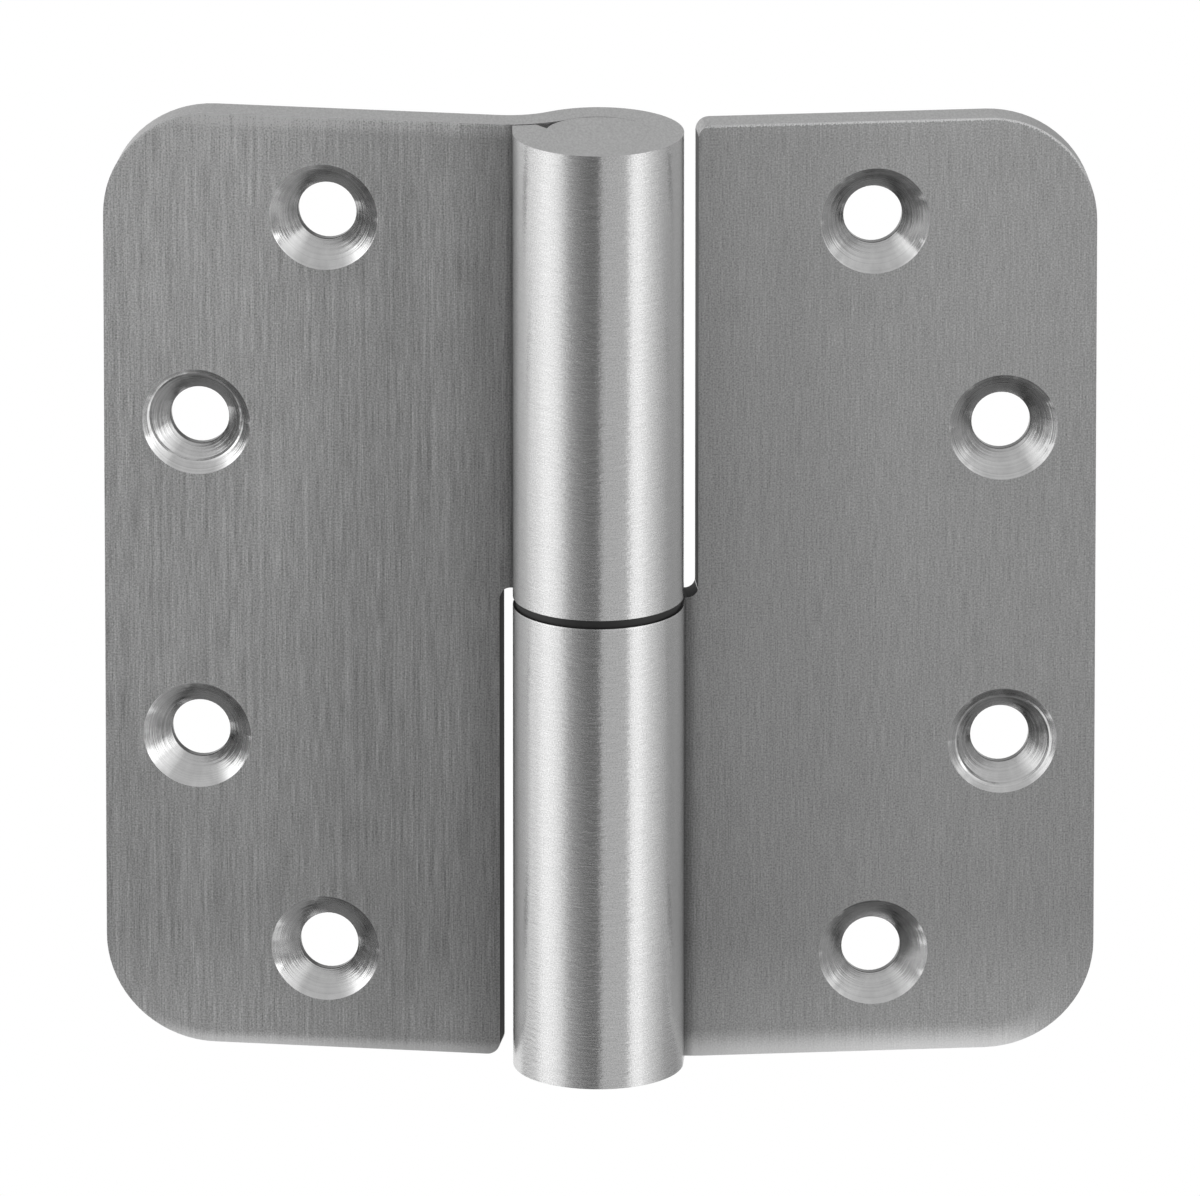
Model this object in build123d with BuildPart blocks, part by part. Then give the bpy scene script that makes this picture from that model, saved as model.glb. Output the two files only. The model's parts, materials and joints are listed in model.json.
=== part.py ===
from build123d import *
import os
from math import acos, asin, atan, atan2, cos, degrees, hypot, radians, sin, sqrt

# A lift-off (paumelle) hinge. Two equal leaves of stainless sheet are each rolled round a bore at one
# end. The frame leaf carries the lower knuckle and the fixed pin. The door leaf is the same pressing
# turned end for end, so its knuckle is the upper one, and it lifts off the pin.
# Origin: on the frame leaf's back face, in the middle of its four screw holes.
# X runs from the pin to the frame leaf's outer edge, Y from the countersunk face to the back, Z up.

# Sheet and leaf outline
leaf_height = 89.0
leaf_reach = 45.7  # pin axis to a leaf's outer edge
sheet = 3.0
corner_radius = 10.0
free_corner_radius = 1.2  # inner corner at the end that has no knuckle
notch_radius = 1.0  # inside corner where the leaf runs into its knuckle
knuckle_gap = 1.45  # a leaf's straight inner edge to the other leaf's knuckle

# Rolled knuckle
bore_diameter = 9.6
face_setback = 1.0  # the countersunk faces lie this far behind the pin axis
joggle_radius = 6.3  # inside radius of the set-back bend between leaf and knuckle
seam_gap = 0.3  # curl's end to the leaf's face that it lies against
seam_land = 2.1  # width of the curl's end that lies along the leaf
curl_straight = 2.0  # the curl's last length, which stays straight
lip_angle = 5.0  # where the curl's chamfered inner corner meets the bore

# Screw holes, for 5 mm countersunk screws
hole_diameter = 5.4
countersink_diameter = 10.0
countersink_angle = 90.0
end_hole_margin = 9.5  # end screws to the leaf's ends
middle_hole_margin = 29.5  # middle screws to the leaf's ends
end_hole_inset = 20.3  # end screws to the outer edge
middle_hole_inset = 8.5  # middle screws to the outer edge

# Pin, plug and washer
running_clearance = 0.05  # pin to the upper knuckle's bore
pin_lead = 1.2  # taper at the pin's top
pin_crown = 0.6  # height of the pin's rounded tip
end_play = 0.4  # pin's tip to the plug
plug_length = 5.0
plug_chamfer = 0.5
grinding_step = 0.02  # plug and pin end lie this little below the ground knuckle ends
washer_thickness = 0.8
washer_recess = 0.25  # washer's rim inside the knuckles' outside
washer_clearance = 0.08  # washer's hole to the pin

# Pose as drawn: how far the door leaf is swung back past flat
swing_back = 13.6

bore_radius = bore_diameter / 2
knuckle_radius = bore_radius + sheet
half_height = leaf_height / 2
half_washer = washer_thickness / 2
inner_edge = knuckle_radius + knuckle_gap
spindle_radius = bore_radius - running_clearance

# The bend's centre lies behind the leaf, where its arcs run on into the roll
bend_y = face_setback + sheet + joggle_radius
bend_to_pin = joggle_radius + sheet + bore_radius
bend_x = sqrt(bend_to_pin**2 - bend_y**2)
bend_centre = (bend_x, bend_y)
roll_start = degrees(atan2(bend_y, bend_x))

# The curl's end follows the bend's front face at the seam gap, its outer corner off the roll's circle
curl_reach = hypot(knuckle_radius, curl_straight)
curl_straight_turn = degrees(atan(curl_straight / knuckle_radius))
seam_radius = joggle_radius + sheet + seam_gap
seam_corner = degrees(
    acos((curl_reach**2 + bend_to_pin**2 - seam_radius**2) / (2 * curl_reach * bend_to_pin))
)
roll_end = roll_start - seam_corner
seam_outer_x = curl_reach * cos(radians(roll_end))
seam_outer = 180 + degrees(acos((bend_x - seam_outer_x) / seam_radius))
seam_inner = 180 + degrees(acos((bend_x - seam_outer_x + seam_land) / seam_radius))

end_hole_x = leaf_reach - end_hole_inset
middle_hole_x = leaf_reach - middle_hole_inset
end_hole_z = half_height - end_hole_margin
middle_hole_z = half_height - middle_hole_margin

pin_axis = Vector(-(end_hole_x + middle_hole_x) / 2, -(face_setback + sheet), 0)
swing = radians(swing_back)

# Each leaf is drawn from the pin axis: x outwards along the leaf, y to its back, its knuckle at low z
frame_plane = Plane(origin=pin_axis, x_dir=(1, 0, 0), z_dir=(0, 0, 1))
door_plane = Plane(origin=pin_axis, x_dir=(-cos(swing), sin(swing), 0), z_dir=(0, 0, -1))
turning_plane = Plane(origin=pin_axis, x_dir=(1, 0, 0), z_dir=(0, -1, 0))


def rolled_section():
    with BuildSketch() as section:
        with BuildLine():
            roll = CenterArc((0, 0), knuckle_radius, roll_start, 360 - seam_corner - curl_straight_turn)
            curl_end = CenterArc(bend_centre, seam_radius, seam_inner, seam_outer - seam_inner)
            Line(roll @ 1, curl_end @ 1)
            curl_bore = CenterArc((0, 0), bore_radius, roll_start, 360 - roll_start + lip_angle)
            Line(curl_end @ 0, curl_bore @ 1)
            CenterArc(bend_centre, joggle_radius + sheet, 180 + roll_start, 90 - roll_start)
            Polyline(
                (bend_x, face_setback),
                (leaf_reach, face_setback),
                (leaf_reach, face_setback + sheet),
                (bend_x, face_setback + sheet),
            )
            CenterArc(bend_centre, joggle_radius, 180 + roll_start, 90 - roll_start)
        make_face()
    return section.sketch


def blank_outline():
    behind_knuckle = -2 * knuckle_radius
    with BuildSketch() as outline:
        with BuildLine():
            Polyline(
                (behind_knuckle, -half_height),
                (leaf_reach, -half_height),
                (leaf_reach, half_height),
                (inner_edge, half_height),
                (inner_edge, -half_washer),
                (behind_knuckle, -half_washer),
                close=True,
            )
        make_face()
        fillet(outline.vertices().group_by(Axis.X)[-1], corner_radius)
        fillet(outline.vertices().group_by(Axis.X)[1].sort_by(Axis.Y)[-1], free_corner_radius)
        fillet(outline.vertices().group_by(Axis.X)[1].sort_by(Axis.Y)[0], notch_radius)
    return outline.sketch


def pressed_leaf(leaf_plane):
    face_view = Plane(leaf_plane.origin, x_dir=leaf_plane.x_dir, z_dir=-leaf_plane.y_dir)
    with BuildPart() as leaf:
        with BuildSketch(leaf_plane):
            add(rolled_section())
        extrude(amount=half_height, both=True)
        with BuildSketch(face_view):
            add(blank_outline())
        extrude(amount=2 * knuckle_radius + joggle_radius, both=True, mode=Mode.INTERSECT)
        with Locations(face_view.offset(-face_setback)):
            with Locations(
                (end_hole_x, end_hole_z),
                (end_hole_x, -end_hole_z),
                (middle_hole_x, middle_hole_z),
                (middle_hole_x, -middle_hole_z),
            ):
                CounterSinkHole(
                    radius=hole_diameter / 2,
                    counter_sink_radius=countersink_diameter / 2,
                    depth=2 * sheet,
                    counter_sink_angle=countersink_angle,
                )
    return leaf.part


os.makedirs("parts", exist_ok=True)

with BuildPart() as frame_leaf:
    add(pressed_leaf(frame_plane))
frame_leaf.part.label = "frame_leaf"
export_step(frame_leaf.part, "parts/frame_leaf.step")

with BuildPart() as door_leaf:
    add(pressed_leaf(door_plane))
door_leaf.part.label = "door_leaf"
export_step(door_leaf.part, "parts/door_leaf.step")

# The pin is pressed into the lower knuckle and turned down for the upper one, with a rounded tip
plug_bottom = half_height - grinding_step - plug_length
pin_bottom = -half_height + grinding_step
pin_top = plug_bottom - end_play
tip_radius = spindle_radius - pin_lead / 2
with BuildPart() as hinge_pin:
    with BuildSketch(turning_plane):
        with BuildLine():
            Polyline(
                (0, pin_top),
                (0, pin_bottom),
                (bore_radius, pin_bottom),
                (bore_radius, -half_washer),
                (spindle_radius, -half_washer),
                (spindle_radius, pin_top - pin_crown - pin_lead),
                (tip_radius, pin_top - pin_crown),
            )
            crown_radius = (tip_radius**2 + pin_crown**2) / (2 * pin_crown)
            crown_half_angle = degrees(asin(tip_radius / crown_radius))
            CenterArc((0, pin_top - crown_radius), crown_radius, 90 - crown_half_angle, crown_half_angle)
        make_face()
    revolve(axis=Axis(pin_axis, (0, 0, 1)))
hinge_pin.part.label = "hinge_pin"
export_step(hinge_pin.part, "parts/hinge_pin.step")

# The plug closes the upper knuckle and is ground flush with it
with BuildPart() as top_plug:
    with BuildSketch(Plane(pin_axis).offset(plug_bottom)):
        Circle(bore_radius)
    extrude(amount=plug_length)
    chamfer(top_plug.edges().group_by(Axis.Z)[0], plug_chamfer)
top_plug.part.label = "top_plug"
export_step(top_plug.part, "parts/top_plug.step")

# The washer lies on the lower knuckle and carries the upper one
with BuildPart() as bearing_washer:
    with BuildSketch(Plane(pin_axis).offset(-half_washer)):
        Circle(knuckle_radius - washer_recess)
        Circle(spindle_radius + washer_clearance, mode=Mode.SUBTRACT)
    extrude(amount=washer_thickness)
bearing_washer.part.label = "bearing_washer"
export_step(bearing_washer.part, "parts/bearing_washer.step")
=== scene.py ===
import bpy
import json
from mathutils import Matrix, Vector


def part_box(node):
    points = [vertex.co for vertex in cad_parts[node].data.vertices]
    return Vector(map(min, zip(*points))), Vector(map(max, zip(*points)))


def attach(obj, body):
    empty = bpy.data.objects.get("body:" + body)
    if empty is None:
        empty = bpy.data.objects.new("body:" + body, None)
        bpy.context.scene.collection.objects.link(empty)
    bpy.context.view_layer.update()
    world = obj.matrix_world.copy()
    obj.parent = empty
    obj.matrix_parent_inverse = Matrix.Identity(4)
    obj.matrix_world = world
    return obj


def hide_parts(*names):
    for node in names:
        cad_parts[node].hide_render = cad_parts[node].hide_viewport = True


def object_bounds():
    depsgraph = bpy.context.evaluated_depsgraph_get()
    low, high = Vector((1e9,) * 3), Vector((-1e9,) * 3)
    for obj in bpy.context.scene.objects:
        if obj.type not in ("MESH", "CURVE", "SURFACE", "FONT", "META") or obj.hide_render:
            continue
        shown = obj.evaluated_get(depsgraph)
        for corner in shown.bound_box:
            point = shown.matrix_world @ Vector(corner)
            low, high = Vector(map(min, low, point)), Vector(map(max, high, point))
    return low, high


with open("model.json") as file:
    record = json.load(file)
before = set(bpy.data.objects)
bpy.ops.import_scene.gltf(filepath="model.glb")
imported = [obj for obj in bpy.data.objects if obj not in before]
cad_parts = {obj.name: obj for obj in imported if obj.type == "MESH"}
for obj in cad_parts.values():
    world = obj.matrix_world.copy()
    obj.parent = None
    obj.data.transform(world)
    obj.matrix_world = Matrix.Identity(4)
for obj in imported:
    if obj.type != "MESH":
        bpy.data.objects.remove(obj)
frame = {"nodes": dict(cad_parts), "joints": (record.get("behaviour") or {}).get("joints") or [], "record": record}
cadBox = [list(corner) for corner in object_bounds()]

import json
from math import atan2, cos, pi, radians, sin

import bpy
from mathutils import Euler, Vector

mm = 0.001


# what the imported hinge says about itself
def mountNamed(name):
    return next(mount for mount in frame["record"]["mounts"] if mount["name"] == name)


def screwPair(name):  # outwards from the pin, up from mid-height
    mount = mountNamed(name)
    return mount["pos_m"][0] - pinAxis.x, mount["dims"]["spacing_y_mm"] * mm / 2


swingJoint = next(joint for joint in frame["joints"] if joint["name"] == "swing")
pinAxis = Vector(swingJoint["pos_m"])
leafLow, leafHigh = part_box("frame_leaf")
pinLow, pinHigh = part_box("hinge_pin")
knuckleRadius = pinAxis.y - leafLow.y
boreRadius = (pinHigh.x - pinLow.x) / 2
halfHeight = leafHigh.z
leafReach = leafHigh.x - pinAxis.x
leafFace = 1.0 * mm  # the countersunk faces lie this far behind the pin
cornerRadius = 10 * mm
doorBack = mountNamed("door_back")["axis"]
sweep = atan2(doorBack[0], doorBack[1])
screwHoles = {"end": screwPair("frame_end_screws"), "middle": screwPair("frame_middle_screws")}
leaves = {  # the way each leaf points from the pin, and the way its back faces
    "frame_leaf": (Vector((1, 0, 0)), Vector((0, 1, 0))),
    "door_leaf": (Vector((-cos(sweep), sin(sweep), 0)), Vector((sin(sweep), cos(sweep), 0))),
}
print("frame read")


# materials are written as sums and products of the nodes' outputs
class Wire:
    def __init__(self, tree, socket):
        self.tree = tree
        self.socket = socket

    def maths(self, operation, *terms):
        return self.tree.node("Math", {"operation": operation}, dict(enumerate(terms)))

    def __add__(self, other): return self.maths("ADD", self, other)
    def __radd__(self, other): return self.maths("ADD", other, self)
    def __sub__(self, other): return self.maths("SUBTRACT", self, other)
    def __rsub__(self, other): return self.maths("SUBTRACT", other, self)
    def __mul__(self, other): return self.maths("MULTIPLY", self, other)
    def __rmul__(self, other): return self.maths("MULTIPLY", other, self)
    def __truediv__(self, other): return self.maths("DIVIDE", self, other)
    def __rtruediv__(self, other): return self.maths("DIVIDE", other, self)
    def __pow__(self, other): return self.maths("POWER", self, other)
    def __abs__(self): return self.maths("ABSOLUTE", self)
    def least(self, other): return self.maths("MINIMUM", self, other)
    def most(self, other): return self.maths("MAXIMUM", self, other)

    def rise(self, low, high):  # 0 below low, 1 above high
        return self.tree.node("MapRange", {"interpolation_type": "SMOOTHSTEP"},
                              {"Value": self, "From Min": low, "From Max": high})


class Nodes:
    def __init__(self, tree):
        self.tree = tree

    def node(self, kind, settings=None, inputs=None, output=0):
        made = self.tree.nodes.new("ShaderNode" + kind)
        for name, value in (settings or {}).items():
            if name == "stops":
                stops = made.color_ramp.elements
                while len(stops) < len(value):
                    stops.new(0.5)
                for stop, (place, level) in zip(stops, value):
                    stop.position = place
                    stop.color = (level, level, level, 1)
            else:
                setattr(made, name, value)
        for name, value in (inputs or {}).items():
            self.feed(made.inputs[name], value)
        return Wire(self, made.outputs[output]) if made.outputs else made

    def feed(self, socket, value):
        if isinstance(value, Wire):
            self.tree.links.new(value.socket, socket)
        else:
            socket.default_value = value

    def place(self, output="Object"):  # x, y and z in metres, as the hinge stands
        spot = self.node("TexCoord", output=output)
        return [self.node("SeparateXYZ", None, {0: spot}, output=axis) for axis in "XYZ"]

    def angleOf(self, up, across):
        return self.node("Math", {"operation": "ARCTAN2"}, {0: up, 1: across})

    def noise(self, x, y, z, detail=2.0, roughness=0.5):  # swings about 0
        spot = self.node("CombineXYZ", None, {"X": x, "Y": y, "Z": z})
        inputs = {"Vector": spot, "Scale": 1.0, "Detail": detail, "Roughness": roughness}
        return self.node("TexNoise", {"noise_dimensions": "3D"}, inputs) - 0.5

    # size is the grain's width and length in mm, and the seed sets it apart from the others
    def grain(self, across, along, size, seed, detail=2.0, roughness=0.5):
        width, length = size
        return self.noise(across / (width * mm), seed, along / (length * mm), detail, roughness)

    def grey(self, level):
        return self.node("CombineColor", None, {"Red": level, "Green": level, "Blue": level})

    def bump(self, height, size):  # size is the distance in mm and the strength
        distance, strength = size
        inputs = {"Height": height, "Distance": distance * mm, "Strength": strength}
        return self.node("Bump", None, inputs)

    def raysOf(self, *kinds):
        rays = [self.node("LightPath", output=f"Is {kind} Ray") for kind in kinds]
        return sum(rays[1:], rays[0])


class Finish(Nodes):
    def __init__(self, name, metallic, roughness):
        self.material = bpy.data.materials.new(name)
        self.material.use_nodes = True
        super().__init__(self.material.node_tree)
        self.shader = self.tree.nodes["Principled BSDF"]
        self.shader.inputs["Metallic"].default_value = metallic
        self.shader.inputs["Roughness"].default_value = roughness

    def set(self, **inputs):
        for name, value in inputs.items():
            self.feed(self.shader.inputs[name.replace("_", " ")], value)
        return self.material


def sumOf(amounts, **grains):  # each grain times its amount
    first, *others = [grains[name] * amount for name, amount in amounts.items()]
    return sum(others, first)


def leafCoordinates(finish, node):  # outwards from the pin, behind it, up
    x, y, z = finish.place()
    outward, back = leaves[node]
    fromX, fromY = x - pinAxis.x, y - pinAxis.y
    return fromX * outward.x + fromY * outward.y, fromX * back.x + fromY * back.y, z


brushing = {  # millimetres; a grain is its width and its length
    # each leaf's near-knuckle, crease and away values paint shade beside the knuckle and in the crease; its
    # upwards value paints light towards the top
    "door_leaf": {
        "grey": 0.665, "roughness": 0.37, "fine": (0.10, 3.6), "coarse": (0.42, 20.0),
        "contrast": {"fine": 1.12, "coarse": 0.34, "speckle": 1.26, "cloud": 0.10},
        "crease": 0.75, "shadeByKnuckle": 0.55, "away": 0.79, "near": (8.6, 15.0, 18.0, 33.0),
        "upwards": 0.22, "footing": 0.18, "topBand": 0.28, "rim": 0.25,
        "linished": 0.22, "linishedWidth": (1.3, 1.2), "linishedRoughness": 0.25,
    },
    "frame_leaf": {
        "grey": 0.445, "roughness": 0.34, "fine": (0.10, 3.2), "coarse": (0.40, 18.0),
        "contrast": {"fine": 0.75, "coarse": 0.22, "speckle": 1.15, "cloud": 0.10},
        "crease": 0.66, "shadeByKnuckle": 0.77, "away": 0.87, "near": (8.8, 15.0, 16.0, 30.0),
        "upwards": 0.16, "footing": 0.25, "topBand": 0.04, "rim": 0.80,
        "linished": 0.82, "linishedWidth": (2.6, 2.5), "linishedRoughness": 0.35,
    },
    "both": {
        "speckle": (0.16, 0.16), "cloud": (13, 24), "creaseReach": (8.1, 9.0), "footingHeight": 14,
        "topBandReach": (1.6, 0.5), "rimWidth": 0.26, "rimRagged": 0.30, "rimFade": (0, 0.4),
        "linishedEnds": (0.05, 0.85), "rimStarts": (0.2, 0.7),  # shares of the corner's radius
        "linishedFade": (-0.1, 1.0), "linishedSmooth": 0.85,
        "roughened": {"coarse": 0.15, "fine": 0.10},
        "relief": {"fine": 0.7, "coarse": 0.5}, "bump": (0.02, 0.5),
    },
}


def insideCorner(across, upwards):  # how far a spot lies inside the rounded outline
    return cornerRadius - (across * across + upwards * upwards) ** 0.5


def brushedFace(node):
    values = {**brushing["both"], **brushing[node]}
    finish = Finish("brushed_" + node, 1.0, values["roughness"])
    along, behind, up = leafCoordinates(finish, node)
    fine = finish.grain(along, up, values["fine"], seed=0, detail=3, roughness=0.55)
    coarse = finish.grain(along, up, values["coarse"], seed=4, roughness=0.6)
    speckle = finish.grain(along, up, values["speckle"], seed=6, detail=1)
    cloud = finish.grain(along, up, values["cloud"], seed=9, detail=1)
    streaks = sumOf(values["contrast"], fine=fine, coarse=coarse, speckle=speckle, cloud=cloud)

    # painted shade beside the knuckle and in the bend's crease, painted light towards the top, and lighter at the
    # foot
    nearFrom, nearTo, awayFrom, awayTo = [reach * mm for reach in values["near"]]
    shadeByKnuckle, away = values["shadeByKnuckle"], values["away"]
    shade = shadeByKnuckle + along.rise(nearFrom, nearTo) * (away - shadeByKnuckle)
    shade = shade + along.rise(awayFrom, awayTo) * (1 - away)
    creaseFrom, creaseTo = [reach * mm for reach in values["creaseReach"]]
    crease = values["crease"] + along.rise(creaseFrom, creaseTo) * (1 - values["crease"])
    footingFrom = halfHeight - values["footingHeight"] * mm
    footing = (0 - up).rise(footingFrom, halfHeight) * values["footing"]
    shade = shade * crease * (1 + up * (values["upwards"] / halfHeight) + footing)

    # the lower edge was dressed by hand, and the band follows the corner a little way
    cornerAcross = (along - (leafReach - cornerRadius)).most(0)
    cornerDown = (0 - up - (halfHeight - cornerRadius)).most(0)
    atKnuckle, atCorner = values["linishedWidth"]
    outwards = along.rise(knuckleRadius, leafReach - cornerRadius)
    bandWidth = (atKnuckle + (atCorner - atKnuckle) * outwards) * mm
    endFrom, endTo = [share * cornerRadius for share in values["linishedEnds"]]
    band = (1 - insideCorner(cornerAcross, cornerDown) / bandWidth).most(0)
    linished = (band * (1 - cornerAcross.rise(endFrom, endTo))).rise(*values["linishedFade"])

    # a soft band and a bright, ragged rim along the top
    topFrom, topTo = [halfHeight - reach * mm for reach in values["topBandReach"]]
    topBand = up.rise(topFrom, topTo) * values["topBand"]
    cornerUp = (up - (halfHeight - cornerRadius)).most(0)
    rimWidth = speckle * (values["rimRagged"] * mm) + values["rimWidth"] * mm
    rimFrom, rimTo = [share * cornerRadius for share in values["rimStarts"]]
    rim = (1 - insideCorner(cornerAcross, cornerUp) / rimWidth).rise(*values["rimFade"])
    rim = rim * cornerUp.rise(rimFrom, rimTo)

    streaks = 1 + streaks * (1 - linished * values["linishedSmooth"])
    bands = 1 + linished * values["linished"] + topBand + rim * values["rim"]
    roughness = values["roughness"] + sumOf(values["roughened"], coarse=coarse, fine=fine)
    roughness = roughness + linished * values["linishedRoughness"]
    relief = sumOf(values["relief"], fine=fine, coarse=coarse)
    return finish.set(Base_Color=finish.grey(values["grey"] * streaks * shade * bands),
                      Roughness=roughness, Normal=finish.bump(relief, values["bump"]))


knuckleGrain = {  # millimetres; a grain is its length round the pin and its height
    "door_leaf": {"roughness": 0.25, "rim": 0.0},
    "frame_leaf": {"roughness": 0.23, "rim": 0.18},  # a fine painted highlight along the knuckle's eased end, under the washer
    "both": {
        "grey": 0.615, "fine": (1.6, 0.09), "coarse": (4.0, 0.40), "speckle": (0.14, 0.12),
        "ragged": (1.2, 0.30), "paintedRimReach": (-0.62, -0.46), "rimRagged": 0.15,
        "contrast": {"fine": 0.36, "coarse": 0.12, "speckle": 0.75}, "roughened": 0.10,
        "relief": {"fine": 0.6, "coarse": 0.4, "speckle": 0.5, "ragged": 3.2}, "bump": (0.02, 0.5),
        "stretch": 0.90, "turned": 0.25,  # the grooves run round, so highlights spread up and down
    },
}


def turnedRound(node):  # the knuckle's outside, brushed round the pin
    values = {**knuckleGrain["both"], **knuckleGrain[node]}
    finish = Finish("knuckle_" + node, 1.0, values["roughness"])
    finish.set(Anisotropic=values["stretch"], Anisotropic_Rotation=values["turned"])
    x, y, z = finish.place()
    around = finish.angleOf(y - pinAxis.y, x - pinAxis.x) * knuckleRadius
    fine = finish.grain(around, z, values["fine"], seed=3, detail=3, roughness=0.6)
    coarse = finish.grain(around, z, values["coarse"], seed=7)
    speckle = finish.grain(around, z, values["speckle"], seed=5, detail=1)
    ragged = finish.grain(around, z, values["ragged"], seed=11, roughness=0.6)  # frays the bands' edges
    # painted highlight: a fine bright line along the lower knuckle's end, just under the washer
    rimFrom, rimTo = [reach * mm for reach in values["paintedRimReach"]]
    rim = (z + speckle * (values["rimRagged"] * mm)).rise(rimFrom, rimTo) * values["rim"]
    brushed = sumOf(values["contrast"], fine=fine, coarse=coarse, speckle=speckle)
    relief = sumOf(values["relief"], fine=fine, coarse=coarse, speckle=speckle, ragged=ragged)
    return finish.set(Base_Color=finish.grey(values["grey"] * (1 + brushed + rim)),
                      Roughness=values["roughness"] + fine * values["roughened"],
                      Normal=finish.bump(relief, values["bump"]))


grinding = {"endGrey": 0.34, "easedGrey": 0.70, "contrast": 0.8, "roughness": 0.42, "roughened": 0.15,
            "grain": (0.17, 0.50, 0.17), "bump": (0.015, 0.5)}  # millimetres


def groundEnd(name, grey):  # end faces and dressed edges
    finish = Finish(name, 1.0, grinding["roughness"])
    x, y, z = [spot / (size * mm) for spot, size in zip(finish.place(), grinding["grain"])]
    grain = finish.noise(x, y, z, detail=1)
    return finish.set(Base_Color=finish.grey((1 + grain * grinding["contrast"]) * grey),
                      Roughness=grinding["roughness"] + grain * grinding["roughened"],
                      Normal=finish.bump(grain, grinding["bump"]))


cutEdge = {  # inner edges and notches: a dull cut face painted near black as shade, darkest at mid-height by the notch; millimetres
    "frame_leaf": {"near": 0.02, "far": 0.14, "from": 6.0, "to": 26.0},
    "door_leaf": {"near": 0.02, "far": 0.03, "from": 6.0, "to": 40.0},
    "ragged": (0.5, 1.2), "wander": 6, "contrast": 0.8, "roughness": 0.7, "roughened": 0.2,
    "shine": 0.15, "bump": (0.05, 0.5),
}


def shadedCut(node):
    values = cutEdge[node]
    finish = Finish("dark_cut_" + node, 0.0, cutEdge["roughness"])
    finish.set(Specular_IOR_Level=cutEdge["shine"])
    along, behind, up = leafCoordinates(finish, node)
    ragged = finish.grain(behind, up, cutEdge["ragged"], seed=2, detail=3, roughness=0.7)
    # painted shade: near black by the notch at mid-height, lighter towards the leaf's ends
    height = abs(up) + ragged * (cutEdge["wander"] * mm)
    away = height.rise(values["from"] * mm, values["to"] * mm)
    level = values["near"] + away * (values["far"] - values["near"])
    return finish.set(Base_Color=finish.grey(level * (1 + ragged * cutEdge["contrast"])),
                      Roughness=cutEdge["roughness"] + ragged * cutEdge["roughened"],
                      Normal=finish.bump(ragged, cutEdge["bump"]))


sinking = {  # millimetres
    "grey": 0.615, "roughness": 0.19, "holeShade": 0.10, "wallReach": (2.70, 2.76),
    "rings": (0.16, 9), "chatterRound": 2.6, "chatter": (2.2, 9), "bump": (0.022, 1.0),
    "contrast": {"rings": 0.55, "chatter": 0.55, "groove": 0.15},
    "roughened": {"rings": 0.2, "chatter": 0.2},
    "relief": {"groove": 1.4, "rings": 0.5, "chatter": 0.5},
    # the tool left a second ring on one middle hole of each leaf, a little off centre
    "ring": 4.25, "ringWidth": 0.19, "offCentre": (0.16, 0.20), "fainter": 0.12,
    "ringAbove": {"frame_leaf": -1, "door_leaf": 1}, "ringStrength": (0.8, 1.4),
}


def countersinkCut(node):  # tool marks run round each screw hole
    finish = Finish("countersink_" + node, 1.0, sinking["roughness"])
    along, behind, up = leafCoordinates(finish, node)
    gaps = []
    for holeOut, holeUp in screwHoles.values():
        gapOut, gapUp = along - holeOut, abs(up) - holeUp
        gaps.append((gapOut, gapUp, (gapOut * gapOut + gapUp * gapUp) ** 0.5))
    (endOut, endUp, endGap), (middleOut, middleUp, middleGap) = gaps
    nearMiddle = (endGap - middleGap).rise(0, 0.1 * mm)
    gapOut = endOut * (1 - nearMiddle) + middleOut * nearMiddle
    gapUp = endUp * (1 - nearMiddle) + middleUp * nearMiddle
    radius = endGap.least(middleGap)
    chatterRadius, chatterHeight = [size * mm for size in sinking["chatter"]]
    rings = finish.grain(radius, up, sinking["rings"], seed=1, roughness=0.6)
    chatter = finish.noise(finish.angleOf(gapUp, gapOut) * sinking["chatterRound"],
                           radius / chatterRadius, up / chatterHeight, detail=3, roughness=0.6)
    offOut, offUp = [gap - off * mm for gap, off in zip((gapOut, gapUp), sinking["offCentre"])]
    offRadius = (offOut * offOut + offUp * offUp) ** 0.5
    ringed = (up * sinking["ringAbove"][node]).rise(0, 1 * mm) * nearMiddle
    groove = 1 - (abs(offRadius - sinking["ring"] * mm) / (sinking["ringWidth"] * mm)).least(1)
    steady, broken = sinking["ringStrength"]
    cutDepth = sinking["fainter"] + ringed * (1 - sinking["fainter"])
    groove = groove * cutDepth * (steady + chatter * broken)
    # painted shade in the drilled hole: its wall, dull from the drill, is darkened to a tenth
    wallFrom, wallTo = [reach * mm for reach in sinking["wallReach"]]
    holeShade = radius.rise(wallFrom, wallTo).most(sinking["holeShade"])
    marks = sumOf(sinking["contrast"], rings=rings, chatter=chatter, groove=groove)
    roughened = sumOf(sinking["roughened"], rings=rings, chatter=chatter)
    relief = sumOf(sinking["relief"], groove=groove, rings=rings, chatter=chatter)
    return finish.set(Base_Color=finish.grey(sinking["grey"] * (1 + marks) * holeShade),
                      Roughness=sinking["roughness"] + roughened,
                      Normal=finish.bump(relief, sinking["bump"]))


polymer = {"grey": 0.010, "mottled": 0.010, "roughness": 0.55, "roughened": 0.1,
           "grain": 0.15, "bump": (0.02, 0.3)}  # millimetres


def blackPolymer():
    finish = Finish("black_polymer", 0.0, polymer["roughness"])
    x, y, z = [spot / (polymer["grain"] * mm) for spot in finish.place()]
    grain = finish.noise(x, y, z)
    return finish.set(Base_Color=finish.grey(polymer["grey"] + grain * polymer["mottled"]),
                      Roughness=polymer["roughness"] + grain * polymer["roughened"],
                      Normal=finish.bump(grain, polymer["bump"]))


turning = {"grey": 0.50, "contrast": 0.3, "roughness": 0.20, "roughened": 0.1,
           "line": 0.07, "bump": (0.01, 0.4)}  # millimetres


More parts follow.
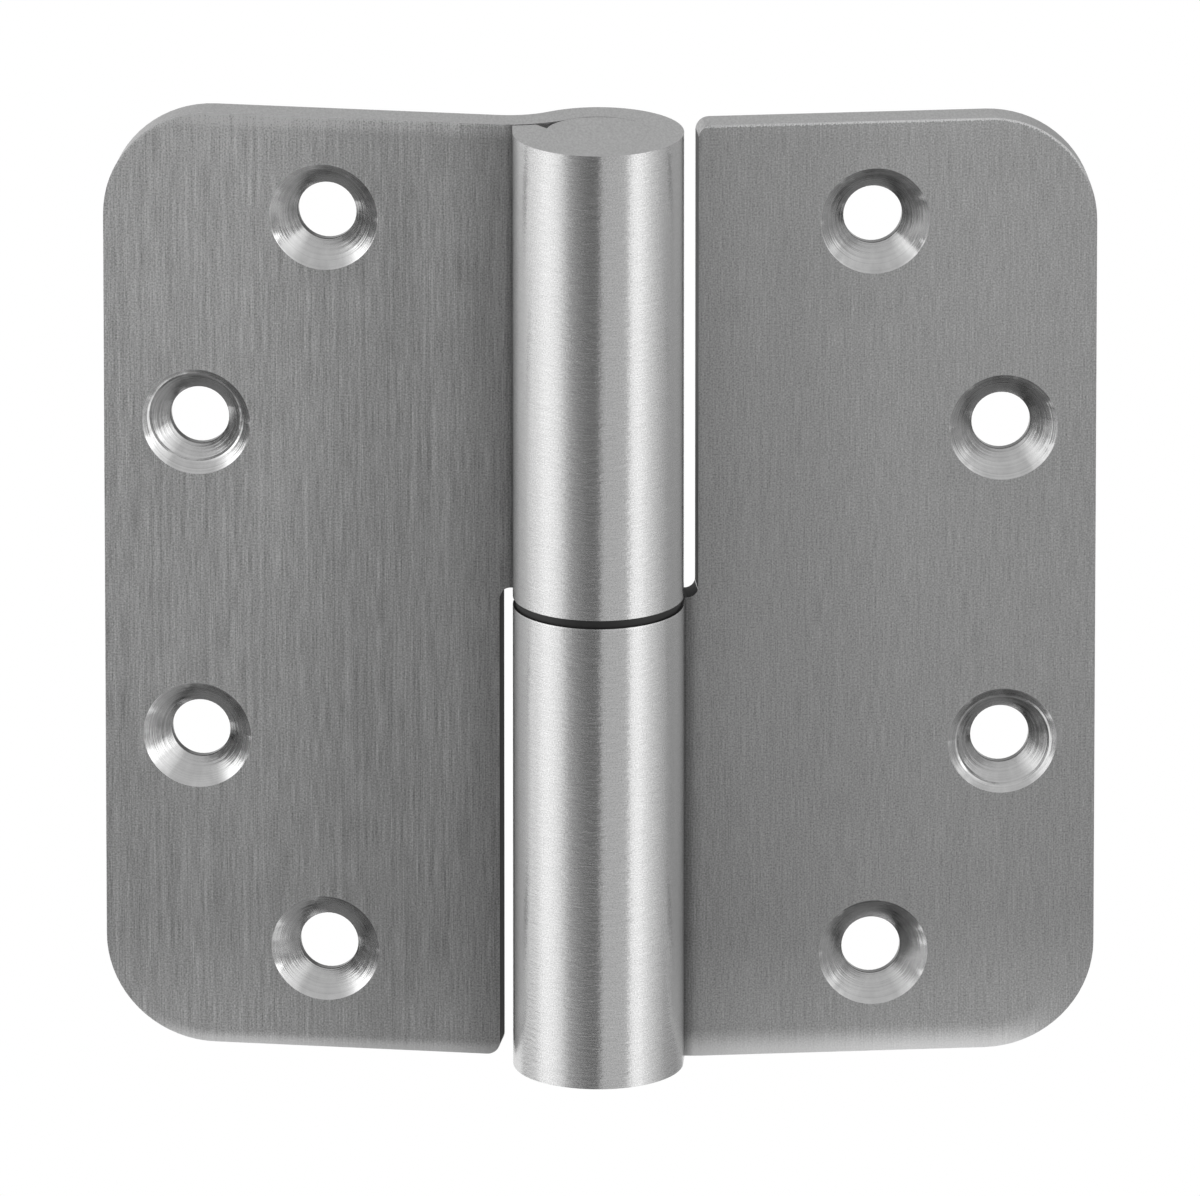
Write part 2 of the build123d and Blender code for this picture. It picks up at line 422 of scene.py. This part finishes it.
def turnedPin():
    finish = Finish("turned_pin", 1.0, turning["roughness"])
    up = finish.place()[2]
    lines = finish.noise(2.0, 3.0, up / (turning["line"] * mm), detail=3, roughness=0.6)
    return finish.set(Base_Color=finish.grey((1 + lines * turning["contrast"]) * turning["grey"]),
                      Roughness=turning["roughness"] + lines * turning["roughened"],
                      Normal=finish.bump(lines, turning["bump"]))


def onlySelect(piece):
    bpy.ops.object.select_all(action="DESELECT")
    piece.select_set(True)
    bpy.context.view_layer.objects.active = piece


def leafPlace(node, point):  # outwards from the pin, behind it, up
    outward, back = leaves[node]
    spot = point - pinAxis
    return spot.dot(outward), spot.dot(back), spot.z


def fromHole(out, up):
    return min(((out - holeOut) ** 2 + (abs(up) - holeUp) ** 2) ** 0.5
               for holeOut, holeUp in screwHoles.values())


easedEdges = {
    "width": 0.25 * mm, "segments": 3, "sharpAngle": radians(32), "smoothAngle": radians(40),
    "share": {  # of the full width
        "outline": 1.0, "knuckle end": 0.3, "countersink": 0.3, "hole": 0.0, "seam": 0.25, "bore": 0.0,
    },
    "holeReach": 2.8 * mm, "countersinkReach": 5.3 * mm,  # from the hole's middle
    "bore": 0.1 * mm, "curl": 0.3 * mm, "outside": 0.05 * mm,  # how far off the bore and the knuckle
    "mergeWithin": 0.0005 * mm, "flatWithin": radians(0.4), "flatWeight": 100,
}


def edgeKind(node, corners):
    spots = [leafPlace(node, corner) for corner in corners]
    fromPin = [(out * out + back * back) ** 0.5 for out, back, up in spots]
    if max(fromPin) < boreRadius + easedEdges["bore"]:
        return "bore"
    furthestOut = max(out for out, back, up in spots)
    if max(fromPin) < knuckleRadius + easedEdges["curl"] or furthestOut < knuckleRadius:
        return "knuckle end" if min(fromPin) > knuckleRadius - easedEdges["outside"] else "seam"
    gaps = [fromHole(out, up) for out, back, up in spots]
    if max(gaps) < easedEdges["holeReach"]:
        return "hole"
    return "countersink" if min(gaps) < easedEdges["countersinkReach"] else "outline"


facePlaces = {  # where each kind of face ends
    "countersink": 5.2 * mm, "ledge": 1.5 * mm, "knuckle": 0.05 * mm, "curl": 0.3 * mm,
    "pastKnuckle": 1 * mm, "flatLeaf": 10 * mm, "innerEdge": 10.55 * mm, "behindFace": 0.1 * mm,
}
faceTilts = {  # 1 where a face looks straight back or straight up, 0 where it looks sideways
    "flat": 0.96, "aroundHole": 0.98, "easedBack": 0.25, "leafBack": 0.3,
    "ledgeUp": 0.3, "endUp": 0.7, "easedUp": 0.15, "edgeUp": 0.12,
}


def faceKind(node, face):
    out, back, up = leafPlace(node, face.center)
    fromPin = (out * out + back * back) ** 0.5
    facingBack = abs(face.normal.dot(leaves[node][1]))
    facingUp = abs(face.normal.z)
    tilted = facingBack < faceTilts["flat"]
    onBevel = facingUp > faceTilts["easedUp"]
    if fromHole(out, up) < facePlaces["countersink"]:
        return "countersink" if facingBack < faceTilts["aroundHole"] else "brushed"
    if abs(up) < facePlaces["ledge"] and facingUp > faceTilts["ledgeUp"]:
        return "cut"
    pastKnuckle = fromPin > knuckleRadius + facePlaces["pastKnuckle"]
    if tilted and onBevel and facingBack > faceTilts["easedBack"] and pastKnuckle:
        return "eased"
    if facingUp > faceTilts["endUp"]:
        return "ground"
    onCurl = back < leafFace - facePlaces["behindFace"]
    if fromPin < knuckleRadius + facePlaces["curl" if onCurl else "knuckle"]:
        return "knuckle"
    if facingBack > faceTilts["leafBack"]:
        return "eased" if tilted and (onBevel or out > facePlaces["flatLeaf"]) else "brushed"
    onInnerEdge = out < facePlaces["innerEdge"] and facingUp < faceTilts["edgeUp"]
    return "cut" if onInnerEdge else "ground"


def leafMaterials(node):  # named as faceKind names them
    return {
        "brushed": brushedFace(node),
        "knuckle": turnedRound(node),
        "ground": groundEnd("ground_" + node, grinding["endGrey"]),
        "countersink": countersinkCut(node),
        "cut": shadedCut(node),
        "eased": groundEnd("eased_" + node, grinding["easedGrey"]),
    }


def dressedLeaf(node, name):
    piece = bpy.data.objects.new(name, frame["nodes"][node].data.copy())
    bpy.context.scene.collection.objects.link(piece)
    onlySelect(piece)
    bpy.ops.mesh.customdata_custom_splitnormals_clear()
    bpy.ops.object.mode_set(mode="EDIT")
    bpy.ops.mesh.select_all(action="SELECT")
    bpy.ops.mesh.remove_doubles(threshold=easedEdges["mergeWithin"])
    bpy.ops.mesh.dissolve_limited(angle_limit=easedEdges["flatWithin"])
    bpy.ops.mesh.select_all(action="DESELECT")
    bpy.ops.mesh.select_mode(type="EDGE")
    bpy.ops.mesh.edges_select_sharp(sharpness=easedEdges["sharpAngle"])
    bpy.ops.object.mode_set(mode="OBJECT")
    mesh = piece.data
    weights = mesh.attributes.new("bevel_weight_edge", "FLOAT", "EDGE")
    for edge in mesh.edges:
        if edge.select:
            corners = [mesh.vertices[corner].co for corner in edge.vertices]
            weights.data[edge.index].value = easedEdges["share"][edgeKind(node, corners)]
    bevel = piece.modifiers.new("eased edges", "BEVEL")
    bevel.limit_method = "WEIGHT"
    bevel.width = easedEdges["width"]
    bevel.segments = easedEdges["segments"]
    bevel.use_clamp_overlap = True
    bpy.ops.object.modifier_apply(modifier=bevel.name)
    bpy.ops.object.shade_smooth_by_angle(angle=easedEdges["smoothAngle"])
    weighted = piece.modifiers.new("flat faces", "WEIGHTED_NORMAL")
    weighted.keep_sharp = True
    weighted.weight = easedEdges["flatWeight"]
    bpy.ops.object.modifier_apply(modifier=weighted.name)
    materials = leafMaterials(node)
    mesh.materials.clear()
    for material in materials.values():
        mesh.materials.append(material)
    slots = list(materials)
    for face in mesh.polygons:
        face.material_index = slots.index(faceKind(node, face))
    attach(piece, "frame" if node == "frame_leaf" else "door")
    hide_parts(node)
    print(name, "dressed,", len(mesh.polygons), "faces")


dressedLeaf("frame_leaf", "frame_leaf_brushed")
dressedLeaf("door_leaf", "door_leaf_brushed")


def setMaterial(node, material):
    mesh = frame["nodes"][node].data
    mesh.materials.clear()
    mesh.materials.append(material)


setMaterial("top_plug", groundEnd("ground_plug", grinding["endGrey"]))
setMaterial("hinge_pin", turnedPin())
setMaterial("bearing_washer", blackPolymer())
print("materials set")

# the floor lies below the hinge, which hangs free as on its door frame
floorPaint = {"radius": 0.36, "below": 0.25, "grey": 0.85, "glow": 0.15, "roughness": 0.9}


def paleFloor():
    bpy.ops.object.select_all(action="DESELECT")
    height = -halfHeight - floorPaint["below"]
    bpy.ops.mesh.primitive_circle_add(vertices=96, radius=floorPaint["radius"], fill_type="NGON",
                                      location=(pinAxis.x, 0, height))
    floor = bpy.context.active_object
    floor.name = "pale_floor"
    bpy.ops.object.transform_apply(location=True)
    finish = Finish("floor_paint", 0.0, floorPaint["roughness"])
    grey = floorPaint["grey"]
    glow = finish.raysOf("Camera", "Glossy", "Transmission").least(1) * floorPaint["glow"]
    floor.data.materials.append(finish.set(Base_Color=(grey, grey, grey, 1),
                                           Emission_Color=finish.grey(glow), Emission_Strength=1.0))


paleFloor()

# a black card under the hinge, which only the metal mirrors: the upper halves of the screw holes
# look down on it
blackCard = {"width": 0.66, "depth": 0.21, "behind": 0.145, "below": 0.15, "grey": 0.20,
             "roughness": 0.9, "shine": 0.1}


def flagBelow():
    bpy.ops.object.select_all(action="DESELECT")
    middle = (cadBox[0][0] + cadBox[1][0]) / 2
    height = -halfHeight - blackCard["below"]
    bpy.ops.mesh.primitive_plane_add(size=1, location=(middle, blackCard["behind"], height))
    card = bpy.context.active_object
    card.name = "black_card"
    card.scale = (blackCard["width"], blackCard["depth"], 1)
    bpy.ops.object.transform_apply(location=True, scale=True)
    card.visible_camera = card.visible_diffuse = card.visible_shadow = False
    finish = Finish("black_felt", 0.0, blackCard["roughness"])
    grey = blackCard["grey"]
    card.data.materials.append(finish.set(Base_Color=(grey, grey, grey, 1),
                                          Specular_IOR_Level=blackCard["shine"]))


flagBelow()

camera = {
    "place": (-0.27485, -2.55835, 0.81557),
    "pitch": radians(17.63),
    "turn": radians(-5.45),
    "lens": 886.1,
    "sensor": 36,
    "farthest": 20,
}


def studioCamera():
    data = bpy.data.cameras.new("camera")
    data.lens = camera["lens"]
    data.sensor_width = camera["sensor"]
    data.clip_end = camera["farthest"]
    seen = bpy.data.objects.new("camera", data)
    bpy.context.scene.collection.objects.link(seen)
    seen.location = camera["place"]
    seen.rotation_euler = Euler((pi / 2 - camera["pitch"], 0, camera["turn"]))
    bpy.context.scene.camera = seen


studioCamera()

# what the metal mirrors: degrees round the hinge, 0 towards the camera and 90 to its right, and level
studioWalls = [
    (-180, 0.75), (-145, 1.08), (-122, 1.12), (-105, 0.95), (-91, 1.14), (-80, 1.34), (-70, 1.38),
    (-60, 1.23), (-51, 0.98), (-43, 0.59), (-35, 0.39), (-26, 0.29), (-17, 0.20), (-6, 0.17),
    (1.5, 0.17), (4, 0.59), (23, 0.60), (41, 0.62), (44, 1.30), (58, 1.39), (66, 1.09), (76, 0.86),
    (87, 0.69), (100, 0.57), (115, 0.51), (150, 0.47), (180, 0.65),
]
wallScale = 1.5  # the ramp itself ends at 1
studioCeiling = {"level": 0.68, "from": 0.50, "to": 0.85}  # sine of the height above the horizon
sideLamps = [  # each begins, is full, fades and ends: degrees round the hinge, and sine of the height
    {"level": 1.10, "angles": (-150, -125, -95, -60), "heights": (0.05, 0.17, 0.40, 0.75)},
    {"level": 1.05, "angles": (52, 62, 76, 98), "heights": (0.05, 0.13, 0.30, 0.50)},
]
backdropReach = (0.94, 0.98)  # cosine off straight behind, where metal mirrors the white backdrop


def studioWorld():
    world = bpy.data.worlds.new("studio")
    bpy.context.scene.world = world
    world.use_nodes = True
    world.cycles.sampling_method = "NONE"
    world.node_tree.nodes.clear()
    nodes = Nodes(world.node_tree)
    x, y, z = nodes.place("Generated")
    front = x * sin(camera["turn"]) - y * cos(camera["turn"])
    aside = x * cos(camera["turn"]) + y * sin(camera["turn"])
    angle = nodes.angleOf(aside, front)
    stops = [((degrees + 180) / 360, level / wallScale) for degrees, level in studioWalls]
    walls = nodes.node("ValToRGB", {"stops": stops}, {"Fac": angle / (2 * pi) + 0.5}) * wallScale
    ceiling = z.rise(studioCeiling["from"], studioCeiling["to"])
    room = walls * (1 - ceiling) + ceiling * studioCeiling["level"]
    for lamp in sideLamps:
        left, fullLeft, fullRight, right = [radians(degrees) for degrees in lamp["angles"]]
        low, fullLow, fullHigh, high = lamp["heights"]
        across = angle.rise(left, fullLeft) * (1 - angle.rise(fullRight, right))
        upwards = z.rise(low, fullLow) * (1 - z.rise(fullHigh, high))
        room = room + across * upwards * lamp["level"]
    glossy = nodes.raysOf("Glossy")
    behind = (0 - front / (front * front + aside * aside) ** 0.5).rise(*backdropReach)
    white = (nodes.raysOf("Camera", "Transmission") + glossy * behind).least(1)
    level = 1 + glossy * (room - 1)  # a dull surface is lit by a plain level of 1
    strength = white + (1 - white) * level
    background = nodes.node("Background", None, {"Color": (1, 1, 1, 1), "Strength": strength})
    output = nodes.node("OutputWorld")
    world.node_tree.links.new(background.socket, output.inputs["Surface"])


bpy.context.scene.view_settings.view_transform = "Standard"
studioWorld()
print("studio lit")
